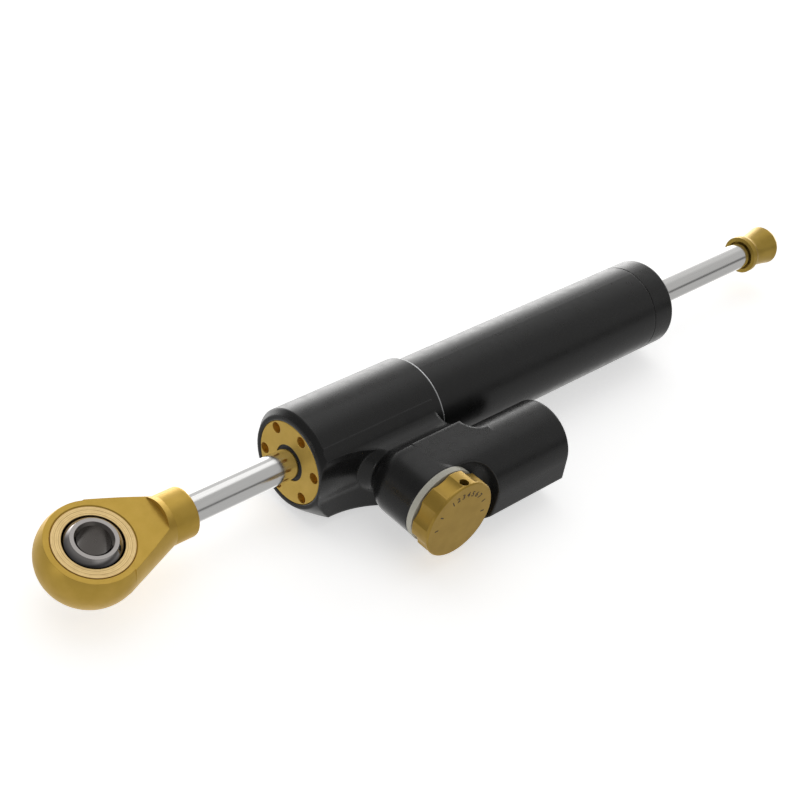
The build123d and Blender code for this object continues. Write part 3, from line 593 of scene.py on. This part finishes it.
def plain_finish(name, colour, roughness, grain, depth, metallic, contrast):
    """A colour broken up by grain, for rubber, resin, cloth and bare metal."""
    tree, shader = start_material(name, {"Roughness": roughness, "Metallic": metallic})
    fine = speckle(tree, grain, detail=4)
    darker = [part * (1 - contrast) for part in colour]
    lighter = [part * (1 + contrast) for part in colour]
    gloss = uneven_gloss(tree, fine, roughness, plain_swing)
    feed(tree, shader, {"Base Color": blend(tree, fine, darker, lighter), "Roughness": gloss})
    add_relief(tree, shader, fine, depth)


# Colour, roughness, grain in mm, depth of the relief in mm, metallic, contrast
plain_recipes = {
    "pale_ring": ((0.60, 0.585, 0.51), 0.45, 0.25, 0.006, 0, 0.10),
    "bare_aluminium": ((0.60, 0.61, 0.62), 0.32, 0.40, 0.004, 1, 0.08),
    "spring_steel": ((0.30, 0.30, 0.31), 0.38, 0.20, 0.005, 1, 0.15),
    "bronze": ((0.52, 0.33, 0.14), 0.34, 0.30, 0.005, 1, 0.15),
    "seal_rubber": ((0.020, 0.020, 0.021), 0.62, 0.15, 0.010, 0, 0.25),
    "wiper_rubber": ((0.012, 0.012, 0.013), 0.45, 0.12, 0.006, 0, 0.25),
    "piston_ring_resin": ((0.16, 0.19, 0.14), 0.55, 0.20, 0.006, 0, 0.15),
    "bearing_liner_cloth": ((0.24, 0.16, 0.08), 0.70, 0.18, 0.015, 0, 0.35),
    "laser_mark": ((0.055, 0.032, 0.012), 0.6, 0.08, 0.004, 0, 0.3),
}
for finish, (colour, roughness, grain_mm, depth_mm, metallic, contrast) in plain_recipes.items():
    plain_finish(finish, colour, roughness, grain_mm * MM, depth_mm * MM, metallic, contrast)
print("finishes in all:", len(finishes))


# %% [markdown]
# Hand each piece its finish
#
# The record that comes with the model names a material slot for every piece. The pieces could be
# dressed one by one, but the finishes above carry the names of the slots, so one loop dresses the
# whole model, and it stops if a name is missing.

# %% Dress the model's pieces
for part in frame["record"]["subparts"]:
    surface = frame["nodes"][part["node"]].data
    surface.materials.clear()
    surface.materials.append(finishes[part["material_slot"]])


# %% [markdown]
# The stop cap, turned afresh
#
# On the rod's rear end sits a turned spool: a thin flange, a waist and a wider rim. The solid has
# the right length and flange, but in the photograph the waist is fuller and the rim smaller. A
# lathe makes such a shape by following an outline round an axis, and so does this step. A Screw
# modifier could do it too, but a few lines of mesh code also weld the ends and keep the corners
# sharp. Length and place are read from the solid, whose place the new mesh takes.

# %% A lathe for outlines
weld_distance = 0.001 * MM
sharp_corner_deg = 30
facets = 96


def put_in_scene(name, content):
    """An object that holds a mesh, a text, a lamp or a camera."""
    thing = bpy.data.objects.new(name, content)
    bpy.context.scene.collection.objects.link(thing)
    return thing


def turned_piece(name, outline, start):
    """A mesh turned round the rod's axis. The outline lists distances from the start and radii."""
    shape = bmesh.new()
    angles = [2 * math.pi * step / facets for step in range(facets)]
    rings = []
    for along, radius in outline:
        x = start + along
        places = [(x, radius * math.cos(angle), radius * math.sin(angle)) for angle in angles]
        rings.append([shape.verts.new(place) for place in places])
    for first, second in zip(rings, rings[1:]):
        for step in range(facets):
            after = (step + 1) % facets
            shape.faces.new((first[step], first[after], second[after], second[step]))
    bmesh.ops.remove_doubles(shape, verts=shape.verts, dist=weld_distance)
    bmesh.ops.recalc_face_normals(shape, faces=shape.faces)
    mesh = bpy.data.meshes.new(name)
    shape.to_mesh(mesh)
    shape.free()
    mesh.shade_smooth()
    mesh.set_sharp_from_angle(angle=math.radians(sharp_corner_deg))
    return put_in_scene(name, mesh)


print("lathe ready, facets:", facets)


# %% Outline of the cap
cap_low, cap_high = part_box("rod_stop_cap")
cap_length = cap_high.x - cap_low.x
rod_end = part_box("piston_rod")[1].x - cap_low.x
neck_radius = 3.02 * MM
recess_radius = 4.5 * MM
recess_depth = 1.8 * MM
flange_width = 1.7 * MM
flange_radius = 5.7 * MM
waist_at = 3.8 * MM
waist_radius = 4.85 * MM
rim_width = 1.4 * MM
rim_radius = 5.9 * MM
tip_radius = 5.1 * MM
flange_bend = 2
rim_bend = 1.5
curve_steps = 12


def flare(wide_at, wide_radius, bend):
    """Points from the waist to a wider place. The radius starts level and opens with the bend."""
    shares = [step / curve_steps for step in range(curve_steps + 1)]
    lengths = [waist_at + (wide_at - waist_at) * share for share in shares]
    radii = [waist_radius + (wide_radius - waist_radius) * share**bend for share in shares]
    return list(zip(lengths, radii))


to_flange = flare(flange_width, flange_radius, flange_bend)
to_rim = flare(cap_length - rim_width, rim_radius, rim_bend)
cap_outline = [
    (rod_end, 0),
    (rod_end, neck_radius),
    (recess_depth, neck_radius),
    (recess_depth, recess_radius),
    (0, recess_radius),
    (0, flange_radius),
    *reversed(to_flange),
    *to_rim[1:],
    (cap_length, tip_radius),
    (cap_length, 0),
]
print("cap's outline:", len(cap_outline), "points, length mm", round(cap_length / MM, 2))


# %% Turned stop cap
stop_cap = turned_piece("stop_cap_turned", cap_outline, cap_low.x)
stop_cap.data.materials.append(finishes["gold_stop_cap"])
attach(stop_cap, "rod")
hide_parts("rod_stop_cap")
print("stop cap turned:", len(stop_cap.data.polygons), "faces")


# %% [markdown]
# Geometry Nodes for what repeats
#
# Marks on a dial, ribs on a ring and circles on a turned face all repeat by a rule. Loops in Python
# could place them, but a tree of Geometry Nodes keeps the rule in one place, and its sizes are
# inputs with names. A tree is built here in code. It ends in Realize Instances and Set Material,
# and its result is turned into a plain mesh, so nothing live is left.

# %% Tools for trees
def start_tree(name, sizes):
    """A geometry tree whose inputs carry names and starting values. Gives the tree and its inputs."""
    tree = bpy.data.node_groups.new(name, "GeometryNodeTree")
    tree.interface.new_socket("Geometry", in_out="OUTPUT", socket_type="NodeSocketGeometry")
    for label, value in sizes.items():
        kind = "NodeSocketInt" if isinstance(value, int) else "NodeSocketFloat"
        socket = tree.interface.new_socket(label, in_out="INPUT", socket_type=kind)
        socket.default_value = value
    return tree, add_node(tree, "NodeGroupInput").outputs


def finish_tree(tree, last, material):
    """Realise the instances, give them their material and send them out."""
    real = add_node(tree, "GeometryNodeRealizeInstances", {"Geometry": last}).outputs["Geometry"]
    painted = add_node(tree, "GeometryNodeSetMaterial", {"Geometry": real, "Material": material})
    add_node(tree, "NodeGroupOutput", {"Geometry": painted.outputs["Geometry"]})


def stacked_points(tree, count):
    """Points that all start in one place, for their numbers to move or scale them apart."""
    return add_node(tree, "GeometryNodeMeshLine", {"Count": count, "Offset": (0, 0, 0)}).outputs["Mesh"]


def bar(tree, x, y, z):
    """A bar with these sides."""
    size = add_node(tree, "ShaderNodeCombineXYZ", {"X": x, "Y": y, "Z": z}).outputs["Vector"]
    return add_node(tree, "GeometryNodeMeshCube", {"Size": size}).outputs["Mesh"]


def copy_to(tree, points, shape, **placing):
    """A copy of the shape on each point. Placing is its Rotation or its Scale."""
    inputs = {"Points": points, "Instance": shape, **placing}
    return add_node(tree, "GeometryNodeInstanceOnPoints", inputs).outputs["Instances"]


print("tools for trees ready")


# %% Bake a tree
def bake_tree(name, tree, sizes, stand):
    """Run the tree with these sizes, keep its mesh, and stand it at a place."""
    holder = put_in_scene(name, bpy.data.meshes.new(name + "_seed"))
    modifier = holder.modifiers.new("pattern", "NODES")
    modifier.node_group = tree
    for socket in tree.interface.items_tree:
        if socket.in_out == "INPUT":
            modifier[socket.identifier] = sizes[socket.name]
    depsgraph = bpy.context.evaluated_depsgraph_get()
    mesh = bpy.data.meshes.new_from_object(holder.evaluated_get(depsgraph), depsgraph=depsgraph)
    holder.modifiers.remove(modifier)
    mesh.transform(stand)
    mesh.name = name
    holder.data = mesh
    print(name, "has", len(mesh.polygons), "faces")
    return holder


def stand_on(place, direction, up):
    """A matrix whose Z looks along direction, with Y as near to up as it can be."""
    z = direction.normalized()
    y = (up - z * up.dot(z)).normalized()
    x = y.cross(z)
    turn = Matrix((x, y, z)).transposed().to_4x4()
    return Matrix.Translation(place) @ turn


print("ready to bake trees")


# %% [markdown]
# Ribs round the pale ring
#
# Under the knob lies a pale ring whose rim is finely ribbed across its width. A relief in its
# material would leave the rim's outline smooth, so the ribs are modelled. One small bar is placed
# on each point of a circle and turned to face outwards. The circle's radius and the number of bars
# are inputs of the tree.

# %% Ribs of the ring
def ribbed_rim_tree(material):
    """Bars on the points of a circle, each turned to face outwards."""
    sizes = {"Count": 12, "Radius": 1.0, "Width": 1.0, "Height": 1.0, "Length": 1.0}
    tree, given = start_tree("ribbed_rim", sizes)
    rim = {"Vertices": given["Count"], "Radius": given["Radius"]}
    circle = add_node(tree, "GeometryNodeMeshCircle", rim).outputs["Mesh"]
    place = add_node(tree, "GeometryNodeInputPosition").outputs["Position"]
    face = add_node(tree, "FunctionNodeAlignEulerToVector", {"Vector": place}, axis="X")
    rib = bar(tree, given["Height"], given["Width"], given["Length"])
    finish_tree(tree, copy_to(tree, circle, rib, Rotation=face.outputs["Rotation"]), material)
    return tree


rib_count = 120
rib_height = 0.12 * MM
rib_margin = 0.15 * MM
ring_low, ring_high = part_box("adjuster_ring")
ring_radius = (ring_high.x - ring_low.x) / 2
ring_width = ring_high.y - ring_low.y
ring_ribs = bake_tree(
    "ring_ribs",
    ribbed_rim_tree(finishes["pale_ring"]),
    {
        "Count": rib_count,
        "Radius": ring_radius,
        "Width": math.pi * ring_radius / rib_count,
        "Height": rib_height,
        "Length": ring_width - 2 * rib_margin,
    },
    stand_on(middle("adjuster_ring"), knob_direction, upwards),
)
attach(ring_ribs, "housing")


# %% [markdown]
# Circles on the race's face
#
# The race shows two circles that the lathe cut a little deeper than the rest. They stand out at
# any distance, so a wave in the material isn't enough. They are thin rings of a rounded section. A
# curve circle is placed at each of several radii, which the tree spaces evenly, and one small
# profile is swept round them all.

# %% Turned circles of the race
def turned_circles_tree(material):
    """Rings of a rounded section round one middle, each a step wider than the last."""
    sizes = {"Count": 3, "First radius": 1.0, "Step": 0.1, "Thickness": 0.01}
    tree, given = start_tree("turned_circles", sizes)
    number = add_node(tree, "GeometryNodeInputIndex").outputs["Index"]
    radius = maths(tree, "MULTIPLY_ADD", number, given["Step"], given["First radius"])
    circle = add_node(tree, "GeometryNodeCurvePrimitiveCircle", {"Resolution": facets, "Radius": 1})
    points = stacked_points(tree, given["Count"])
    copies = copy_to(tree, points, circle.outputs["Curve"], Scale=radius)
    real = add_node(tree, "GeometryNodeRealizeInstances", {"Geometry": copies}).outputs["Geometry"]
    section = {"Resolution": 6, "Radius": given["Thickness"]}
    profile = add_node(tree, "GeometryNodeCurvePrimitiveCircle", section).outputs["Curve"]
    sweep = add_node(tree, "GeometryNodeCurveToMesh", {"Curve": real, "Profile Curve": profile})
    finish_tree(tree, sweep.outputs["Mesh"], material)
    return tree


race_low, race_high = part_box("bearing_race")
race_radius = (race_high.x - race_low.x) / 2
race_face = eye_middle + eye_direction * reach_of("bearing_race", *eye_axis)
first_circle_inset = 1.9 * MM
circle_step = 1.0 * MM
circle_thickness = 0.05 * MM
race_lines = bake_tree(
    "race_turned_circles",
    turned_circles_tree(finishes["champagne_race"]),
    {
        "Count": 2,
        "First radius": race_radius - first_circle_inset,
        "Step": circle_step,
        "Thickness": circle_thickness,
    },
    stand_on(race_face, eye_direction, rod_direction),
)
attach(race_lines, "rod")


# %% [markdown]
# The painted highlight behind the barrel
#
# Where the body's barrel ends on the tube, its rounded rear corner catches the light in a thin pale
# line. That highlight is painted: a thin ring of bare aluminium lies along the corner. The black
# finish could turn pale there, but a ring of its own keeps one width all the way round. The tree of
# the turned circles makes it too, with one circle. Its place is read from the body: on the side
# away from the reservoir nothing reaches further back than that corner.

# %% Painted highlight at the barrel's rear
body_points = [corner.co for corner in frame["nodes"]["body_housing"].data.vertices]
seam_place = rod_direction * max(point.x for point in body_points if point.y > 0)
highlight_line_inset = 0.4 * MM
highlight_line_thickness = 0.24 * MM
# A thin ring of bare aluminium paints the highlight on the barrel's rear corner
barrel_edge_highlight = bake_tree(
    "barrel_edge_highlight_line",
    turned_circles_tree(finishes["bare_aluminium"]),
    {"Count": 1, "First radius": barrel_radius - highlight_line_inset, "Step": 0.0, "Thickness": highlight_line_thickness},
    stand_on(seam_place - rod_direction * highlight_line_inset, rod_direction, upwards),
)
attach(barrel_edge_highlight, "housing")
print("seam at mm:", round(seam_place.x / MM, 1), "radius", round(barrel_radius / MM, 2))


# %% [markdown]
# Marks on the knob's face
#
# The knob is a dial. Its face carries plain numbers along the upper edge and a few strokes at the
# sides, cut by a laser that leaves them dark brown. Painted on by a texture they would blur from
# close up, so they are thin pieces on the face. The strokes are bars on an arc, made by a tree. The
# numbers are text objects that become meshes before they are moved to their place.

# %% Strokes on the dial
def stroke_arc_tree(material):
    """Bars along an arc between two angles, each pointing at the arc's middle."""
    sizes = {"Count": 3, "Radius": 1.0, "From": 0.0, "To": 1.0}
    sides = {"Length": 0.1, "Width": 0.02, "Depth": 0.01}
    tree, given = start_tree("stroke_arc", {**sizes, **sides})
    number = add_node(tree, "GeometryNodeInputIndex").outputs["Index"]
    gaps = maths(tree, "MAXIMUM", maths(tree, "SUBTRACT", given["Count"], 1), 1)
    share = maths(tree, "DIVIDE", number, gaps)
    sweep = maths(tree, "SUBTRACT", given["To"], given["From"])
    angle = maths(tree, "MULTIPLY_ADD", share, sweep, given["From"])
    x = maths(tree, "MULTIPLY", maths(tree, "COSINE", angle), given["Radius"])
    y = maths(tree, "MULTIPLY", maths(tree, "SINE", angle), given["Radius"])
    place = add_node(tree, "ShaderNodeCombineXYZ", {"X": x, "Y": y}).outputs["Vector"]
    spots = {"Geometry": stacked_points(tree, given["Count"]), "Position": place}
    arc = add_node(tree, "GeometryNodeSetPosition", spots).outputs["Geometry"]
    turn = add_node(tree, "ShaderNodeCombineXYZ", {"Z": angle}).outputs["Vector"]
    stroke = bar(tree, given["Length"], given["Width"], given["Depth"])
    finish_tree(tree, copy_to(tree, arc, stroke, Rotation=turn), material)
    return tree


mark_thick = 0.04 * MM
dial_stand = stand_on(knob_face, knob_direction, upwards)
stroke_tree = stroke_arc_tree(finishes["laser_mark"])
stroke_sizes = {"Radius": 8.0 * MM, "Length": 1.2 * MM, "Width": 0.34 * MM, "Depth": mark_thick}
stroke_arcs_deg = {"dial_strokes_low": (150, 178), "dial_strokes_high": (-6, 20)}
for name, (start_deg, end_deg) in stroke_arcs_deg.items():
    arc_sizes = {"Count": 2, "From": math.radians(start_deg), "To": math.radians(end_deg)}
    strokes = bake_tree(name, stroke_tree, {**arc_sizes, **stroke_sizes}, dial_stand)
    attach(strokes, "knob")


# %% Numbers on the dial
number_radius = 7.6 * MM
number_height = 2.1 * MM
number_boldness = 0.05 * MM


def dial_number(text, angle_deg):
    """A number on the dial's face, standing on its radius."""
    curve = bpy.data.curves.new("dial_number_" + text, "FONT")
    curve.body = text
    curve.size = number_height
    curve.align_x = "CENTER"
    curve.align_y = "CENTER"
    curve.extrude = mark_thick / 2
    curve.offset = number_boldness
    curve.resolution_u = 3
    holder = put_in_scene("dial_number_" + text, curve)
    bpy.context.view_layer.update()
    mesh = bpy.data.meshes.new_from_object(holder)
    bpy.data.objects.remove(holder)
    angle = math.radians(angle_deg)
    spot = Vector((math.cos(angle), math.sin(angle), 0)) * number_radius
    turn = Matrix.Rotation(angle - math.pi / 2, 4, "Z")
    mesh.transform(dial_stand @ Matrix.Translation(spot) @ turn)
    mesh.materials.append(finishes["laser_mark"])
    number = put_in_scene("dial_number_" + text, mesh)
    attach(number, "knob")


dial_from_deg = 118
dial_to_deg = 42
dial_numbers = 7
number_step = (dial_to_deg - dial_from_deg) / (dial_numbers - 1)
for count in range(dial_numbers):
    dial_number(str(count + 1), dial_from_deg + count * number_step)
print("numbers on the dial:", dial_numbers)


# %% [markdown]
# The table
#
# The damper lies on a pale table. A curved backdrop would do as well, but the picture looks down so
# steeply that one plane fills it. It stands just under the lowest piece. Its finish is a white that
# glows a little, as an evenly lit table does, so that the shadow under the damper stays faint.

# %% Table
table_gap = 0.5 * MM
table_half = 3000 * MM
table_cloud = 150 * MM
table_light = {"Emission Color": (1, 1, 1), "Emission Strength": 0.55}


def table_finish():
    """A dull white that glows a little."""
    values = {"Roughness": 0.9, "Specular IOR Level": 0.1, **table_light}
    tree, shader = start_material("table_white", values)
    tone = blend(tree, speckle(tree, table_cloud), (0.90, 0.90, 0.90), (0.94, 0.94, 0.94))
    feed(tree, shader, {"Base Color": tone})


table_finish()
table_height = model_low.z - table_gap
corner_signs = ((-1, -1), (1, -1), (1, 1), (-1, 1))
corners = [(x * table_half, y * table_half, table_height) for x, y in corner_signs]
table_mesh = bpy.data.meshes.new("table")
table_mesh.from_pydata(corners, [], [(0, 1, 2, 3)])
table_mesh.materials.append(finishes["table_white"])
table = put_in_scene("table", table_mesh)
table.visible_glossy = False
print("table at mm:", round(table_height / MM, 1))


# %% [markdown]
# Camera
#
# The camera stands where the photograph was taken. Its place and its three angles were found by
# matching the damper's outline. The heading turns it about the upright axis, the tilt raises it
# from looking straight down, and the roll turns it about its own view. The lens follows from a
# focal length of 1650 pixels in a picture 804 pixels wide.

# %% Camera
picture_width_px = 804
focal_length_px = 1650
sensor_mm = 36
camera_place = Vector((-304.08, -223.32, 264.26)) * MM
heading_deg = -49.091
tilt_deg = 52.564
roll_deg = 10.493

camera_data = bpy.data.cameras.new("camera")
camera_data.sensor_width = sensor_mm
camera_data.lens = focal_length_px / picture_width_px * sensor_mm
camera_data.clip_start = 0.01
camera_data.clip_end = 20
heading = Matrix.Rotation(math.radians(heading_deg), 4, "Z")
tilt = Matrix.Rotation(math.radians(tilt_deg), 4, "X")
roll = Matrix.Rotation(math.radians(roll_deg), 4, "Z")
camera = put_in_scene("camera", camera_data)
camera.matrix_world = Matrix.Translation(camera_place) @ heading @ tilt @ roll
bpy.context.scene.camera = camera
print("lens in mm:", round(camera_data.lens, 1))


# %% [markdown]
# Light
#
# Polished metal shows the room, so the room is the main light. An image of a studio could surround
# the scene, but a few bounds on the direction draw a room that is easy to change. It glows low
# behind the damper's rear end, fades from there towards the ceiling and the table, and is dim on
# the camera's side. A dark band just above the table, where a studio's walls would be, draws the
# thin dark line along the chromed rod, and a curtain high on the left keeps the body's front edge
# dark. A bound is a part of a direction of length 1: upwards, 0 is level and 1 is straight up.

# %% Room light
back_rise = (-0.20, 0.10)
right_rise = (-0.45, 0.30)
ceiling_at = 0.55
floor_at = -0.6
band_height = 0.12
band_fade = (0.04, 0.16)
curtain_left = (-0.15, -0.45)
curtain_high = (0.10, 0.35)
room_colour = (1.0, 0.995, 0.985)


def dimmed(tree, level, share, kept):
    """The level, of which only the kept part is left where share is 1."""
    return maths(tree, "MULTIPLY", level, spread(tree, share, 0, 1, 1, kept))


def room_light(front, back, below, ceiling, dark_band, dark_curtain):
    """A room whose brightness depends on the direction alone."""
    world = bpy.data.worlds.new("room")
    bpy.context.scene.world = world
    world.use_nodes = True
    tree = world.node_tree
    way = add_node(tree, "ShaderNodeTexCoord").outputs["Generated"]
    x, y, z = add_node(tree, "ShaderNodeSeparateXYZ", {"Vector": way}).outputs
    behind = spread(tree, y, *back_rise, 0, 1, smooth=True)
    corner = maths(tree, "MULTIPLY", behind, spread(tree, x, *right_rise, 0, 1, smooth=True))
    above = spread(tree, z, 0, ceiling_at, back - front, ceiling - front, smooth=True)
    under = spread(tree, z, floor_at, 0, below - front, back - front, smooth=True)
    glow = maths(tree, "MINIMUM", above, under)
    level = maths(tree, "MULTIPLY_ADD", corner, glow, front)
    rise = maths(tree, "ABSOLUTE", maths(tree, "SUBTRACT", z, band_height))
    wall = spread(tree, rise, *band_fade, 1, 0)
    near_wall = maths(tree, "MULTIPLY", wall, maths(tree, "SUBTRACT", 1, behind))
    level = dimmed(tree, level, near_wall, dark_band)
    left = spread(tree, x, *curtain_left, 0, 1)
    curtain = maths(tree, "MULTIPLY", left, spread(tree, z, *curtain_high, 0, 1))
    level = dimmed(tree, level, curtain, dark_curtain)
    feed(tree, tree.nodes["Background"], {"Color": room_colour, "Strength": level})


room_light(front=0.47, back=3.5, below=1.0, ceiling=0.62, dark_band=0.3, dark_curtain=0.5)
print("room lit")


# %% [markdown]
# Lamps
#
# Two lamps add what an even room can't give. A small one at the left leaves the points of light on
# the rod end, and a broad one overhead gives the faint shadow on the table. Both are rectangles,
# because the reflection of a rectangle looks like a studio's softbox.

# %% Lamps
def softbox(name, place, aim, width, height, power):
    """A rectangular lamp at a place, facing a point, both in metres."""
    lamp = bpy.data.lights.new(name, "AREA")
    lamp.shape = "RECTANGLE"
    lamp.size = width
    lamp.size_y = height
    lamp.energy = power
    holder = put_in_scene(name, lamp)
    holder.location = place
    holder.rotation_euler = (Vector(aim) - Vector(place)).to_track_quat("-Z", "Y").to_euler()


softbox("lamp_left", (-0.95, 0.05, 0.08), aim=(-0.1, 0, 0), width=0.09, height=0.09, power=0.35)
softbox("lamp_overhead", (0.1, 0.3, 1.1), aim=(0, 0, 0), width=1.2, height=0.9, power=1.6)


# %% [markdown]
# Colours of the picture
#
# Blender can bend the colours on their way to the picture, as a film does. Its usual choice, AgX,
# mutes bright ones and would turn the white table grey. Standard leaves them as they are lit.

# %% Colours
bpy.context.scene.view_settings.view_transform = "Standard"
print("view transform:", bpy.context.scene.view_settings.view_transform)
